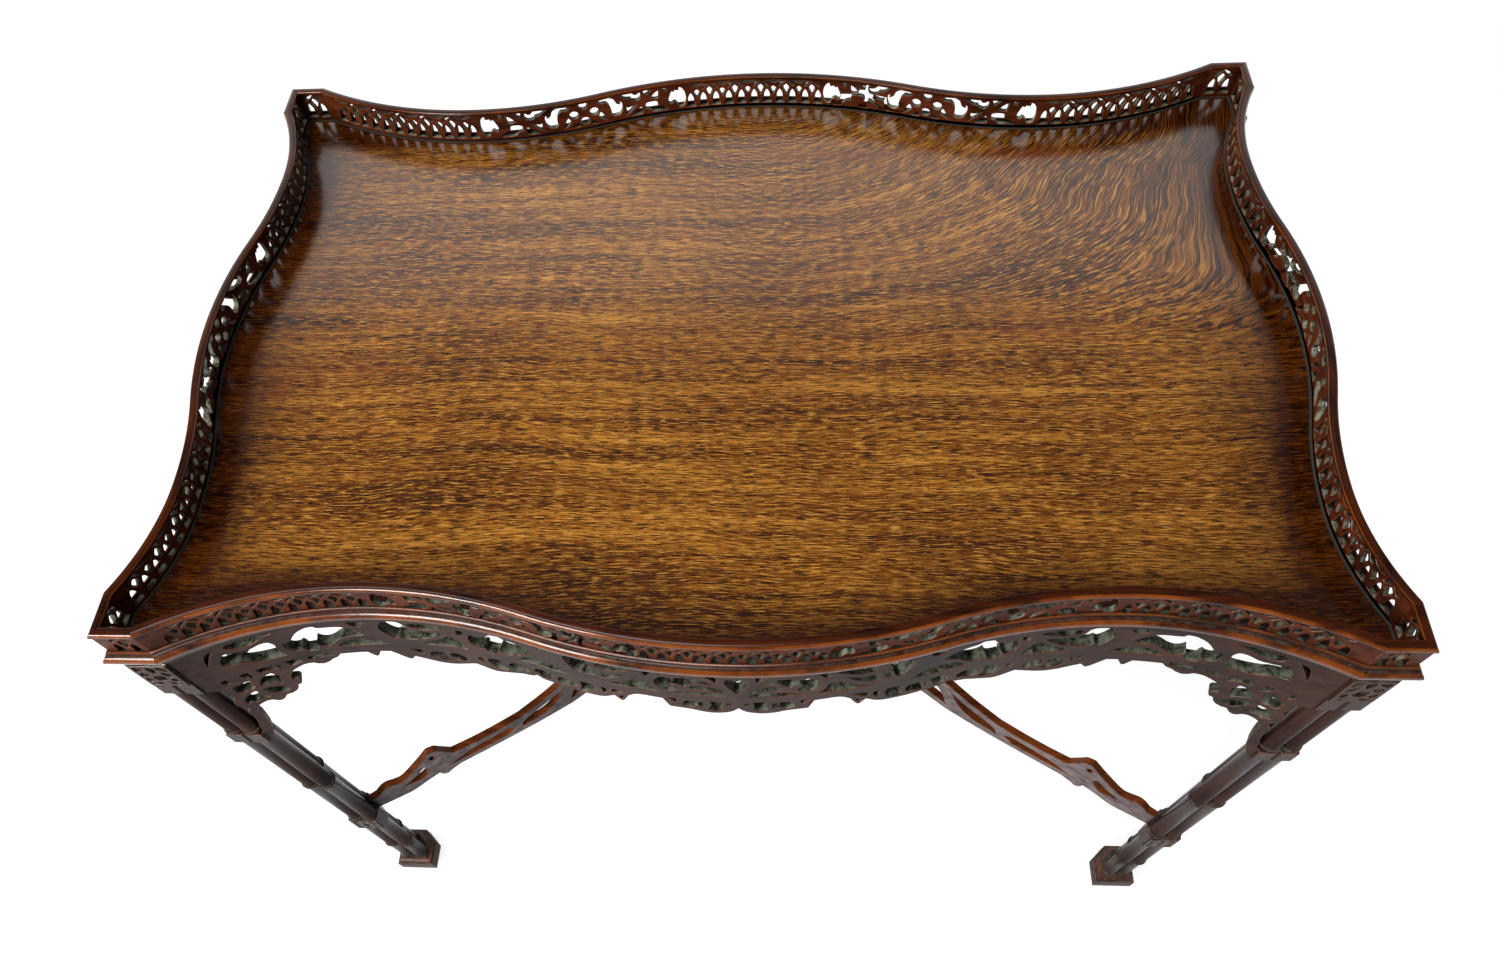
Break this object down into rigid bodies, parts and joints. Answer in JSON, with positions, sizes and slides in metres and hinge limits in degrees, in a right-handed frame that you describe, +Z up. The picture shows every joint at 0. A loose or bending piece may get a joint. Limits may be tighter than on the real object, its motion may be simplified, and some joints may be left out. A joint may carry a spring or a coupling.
{
  "type": "silver table",
  "caption": "Serpentine wooden occasional table with a pierced gallery, pierced aprons and brackets, cluster-column legs, raised cross stretcher and hidden castors.",
  "frame": {"origin": "on the floor below the middle of the top", "axes": "+X to the right along the longer side, +Y to the back, +Z up"},
  "size_m": [0.981, 0.6594, 0.725],
  "materials": {
    "board": "polished mahogany",
    "moulding": "polished mahogany",
    "fret": "waxed mahogany",
    "apron": "waxed mahogany",
    "bracket": "waxed mahogany",
    "leg": "polished mahogany",
    "foot": "polished mahogany",
    "stretcher": "waxed mahogany",
    "glue_block": "bare wood",
    "castor_brass": "dull",
    "wheel_brass": "dull",
    "iron": "dull"
  },
  "bodies": {
    "table": {"top_board": "board", "edge_moulding_back": "moulding", "edge_moulding_right": "moulding", "edge_moulding_front": "moulding", "edge_moulding_left": "moulding", "edge_moulding_corners": "moulding", "gallery_cap_back": "moulding", "gallery_cap_right": "moulding", "gallery_cap_front": "moulding", "gallery_cap_left": "moulding", "gallery_cap_corner_fl": "moulding", "gallery_cap_corner_fr": "moulding", "gallery_cap_corner_br": "moulding", "gallery_cap_corner_bl": "moulding", "gallery_fret_back": "fret", "gallery_fret_right": "fret", "gallery_fret_front": "fret", "gallery_fret_left": "fret", "gallery_corner_fl": "fret", "gallery_corner_fr": "fret", "gallery_corner_br": "fret", "gallery_corner_bl": "fret", "apron_back": "apron", "apron_right": "apron", "apron_front": "apron", "apron_left": "apron", "bracket_back_one": "bracket", "bracket_back_two": "bracket", "bracket_right_one": "bracket", "bracket_right_two": "bracket", "bracket_front_one": "bracket", "bracket_front_two": "bracket", "bracket_left_one": "bracket", "bracket_left_two": "bracket", "leg_fl": "leg", "leg_fr": "leg", "leg_br": "leg", "leg_bl": "leg", "foot_fl": "foot", "foot_fr": "foot", "foot_br": "foot", "foot_bl": "foot", "stretcher_fl": "stretcher", "stretcher_fr": "stretcher", "stretcher_br": "stretcher", "stretcher_bl": "stretcher", "stretcher_boss": "stretcher", "glue_blocks": "glue_block", "top_screws": "iron", "castor_plates": "castor_brass", "castor_screws": "iron"},
    "swivel_fl": {"castor_horn_fl": "castor_brass"},
    "roller_fl": {"castor_wheel_fl": "wheel_brass"},
    "swivel_fr": {"castor_horn_fr": "castor_brass"},
    "roller_fr": {"castor_wheel_fr": "wheel_brass"},
    "swivel_br": {"castor_horn_br": "castor_brass"},
    "roller_br": {"castor_wheel_br": "wheel_brass"},
    "swivel_bl": {"castor_horn_bl": "castor_brass"},
    "roller_bl": {"castor_wheel_bl": "wheel_brass"}
  },
  "joints": [
    {"name": "castor_swivel_fl", "type": "hinge", "parent": "table", "child": "swivel_fl", "pos_m": [-0.4665, -0.302, 0.0186], "axis": [0, 0, 1], "continuous": true},
    {"name": "castor_roll_fl", "type": "hinge", "parent": "swivel_fl", "child": "roller_fl", "pos_m": [-0.4665, -0.296, 0.009], "axis": [1, 0, 0], "continuous": true},
    {"name": "castor_swivel_fr", "type": "hinge", "parent": "table", "child": "swivel_fr", "pos_m": [0.4665, -0.302, 0.0186], "axis": [0, 0, 1], "continuous": true},
    {"name": "castor_roll_fr", "type": "hinge", "parent": "swivel_fr", "child": "roller_fr", "pos_m": [0.4665, -0.296, 0.009], "axis": [1, 0, 0], "continuous": true},
    {"name": "castor_swivel_br", "type": "hinge", "parent": "table", "child": "swivel_br", "pos_m": [0.4665, 0.302, 0.0186], "axis": [0, 0, 1], "continuous": true},
    {"name": "castor_roll_br", "type": "hinge", "parent": "swivel_br", "child": "roller_br", "pos_m": [0.4665, 0.308, 0.009], "axis": [1, 0, 0], "continuous": true},
    {"name": "castor_swivel_bl", "type": "hinge", "parent": "table", "child": "swivel_bl", "pos_m": [-0.4665, 0.302, 0.0186], "axis": [0, 0, 1], "continuous": true},
    {"name": "castor_roll_bl", "type": "hinge", "parent": "swivel_bl", "child": "roller_bl", "pos_m": [-0.4665, 0.308, 0.009], "axis": [1, 0, 0], "continuous": true}
  ]
}
